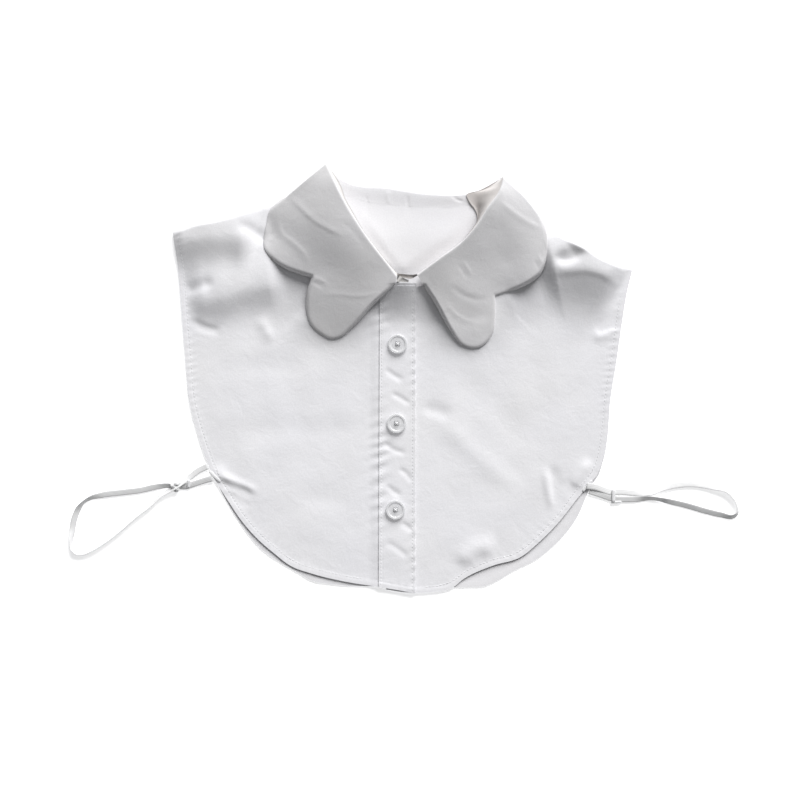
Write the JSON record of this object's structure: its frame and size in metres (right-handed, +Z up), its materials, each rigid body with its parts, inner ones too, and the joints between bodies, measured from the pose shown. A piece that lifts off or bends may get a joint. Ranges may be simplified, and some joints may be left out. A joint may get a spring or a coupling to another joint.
{
  "type": "false collar",
  "caption": "Detachable white shirt front with a scalloped turn-down collar, button placket and side elastics, laid flat.",
  "frame": {"origin": "centre of the garment's outline without its side elastics, on the surface it lies on", "axes": "+X to the right as it lies face up, +Y towards the neck, +Z up from the surface"},
  "size_m": [0.4981, 0.319, 0.0263],
  "materials": {
    "poplin": "matt white cotton poplin",
    "resin": "clear polished resin",
    "elastic": "narrow white woven elastic"
  },
  "bodies": {
    "root": {"back_panel": "poplin", "front_left": "poplin", "front_right": "poplin", "placket": "poplin", "neckband_back": "poplin", "neckband_left": "poplin", "neckband_right": "poplin", "collar_left": "poplin", "collar_right": "poplin", "collar_back": "poplin", "button_top": "resin", "button_middle": "resin", "button_bottom": "resin", "strap_left_front": "elastic", "strap_left_back": "elastic", "strap_left_loop": "elastic", "strap_right_front": "elastic", "strap_right_back": "elastic", "strap_right_loop": "elastic", "knot_left": "elastic", "join_right": "elastic"}
  },
  "joints": []
}
